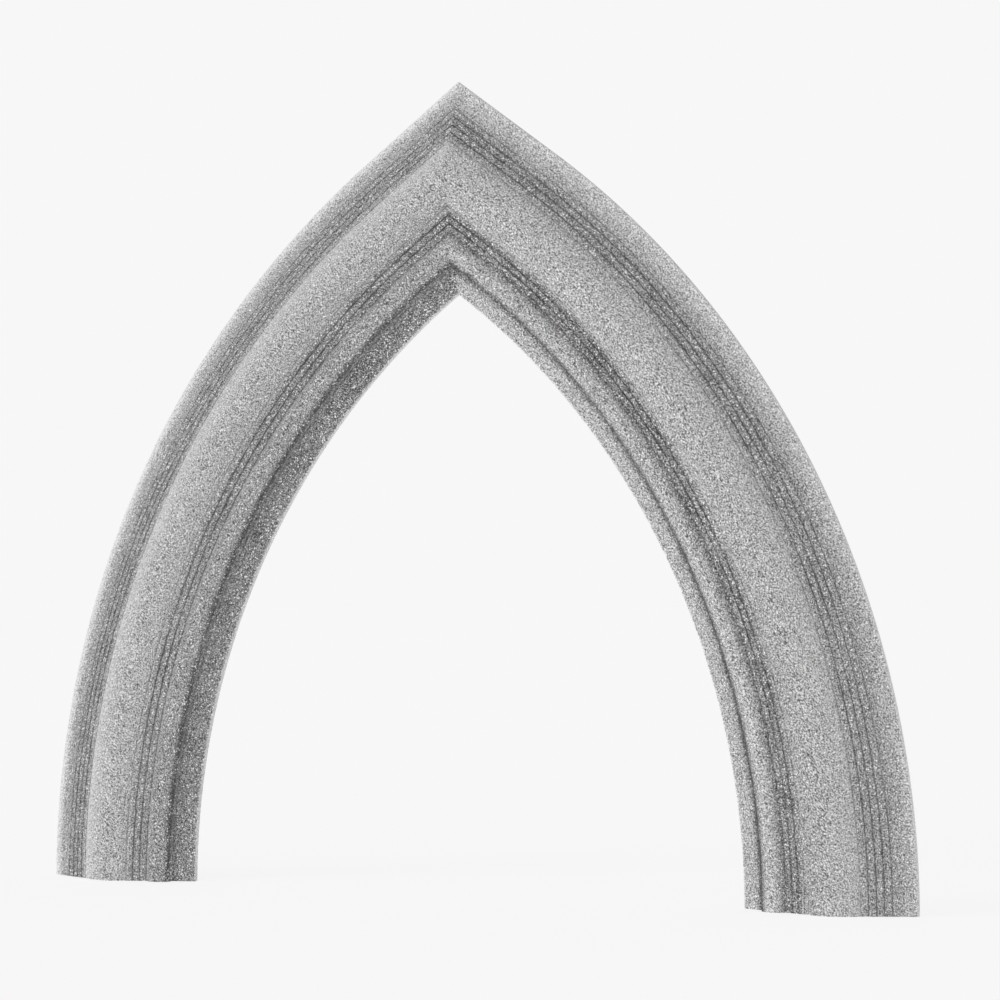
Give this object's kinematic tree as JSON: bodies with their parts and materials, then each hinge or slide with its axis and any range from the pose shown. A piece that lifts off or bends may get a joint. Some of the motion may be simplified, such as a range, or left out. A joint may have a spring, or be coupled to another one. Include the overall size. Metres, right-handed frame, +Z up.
{
  "type": "pointed arch moulding",
  "caption": "Pointed stone arch ring with a crowned band, roll and fine fillets, built of cut stones that meet on a mitre at the point, to frame the head of a doorway or window.",
  "frame": {"origin": "middle of the clear opening at springing level, where the two bottom stones rest, and middle of the depth", "axes": "+X across the opening to the right as seen from the moulded front, -Y out of the moulded front, +Y towards the wall behind, +Z up"},
  "size_m": [1.5674, 0.058, 1.3437],
  "materials": {
    "stone": "rough granular grey stone, matt"
  },
  "bodies": {
    "root": {"left_springer": "stone", "left_voussoir_2": "stone", "left_voussoir_3": "stone", "left_voussoir_4": "stone", "left_voussoir_5": "stone", "left_voussoir_6": "stone", "left_voussoir_7": "stone", "left_voussoir_8": "stone", "left_voussoir_9": "stone", "left_apex_stone": "stone", "right_springer": "stone", "right_voussoir_2": "stone", "right_voussoir_3": "stone", "right_voussoir_4": "stone", "right_voussoir_5": "stone", "right_voussoir_6": "stone", "right_voussoir_7": "stone", "right_voussoir_8": "stone", "right_voussoir_9": "stone", "right_apex_stone": "stone"}
  },
  "joints": []
}
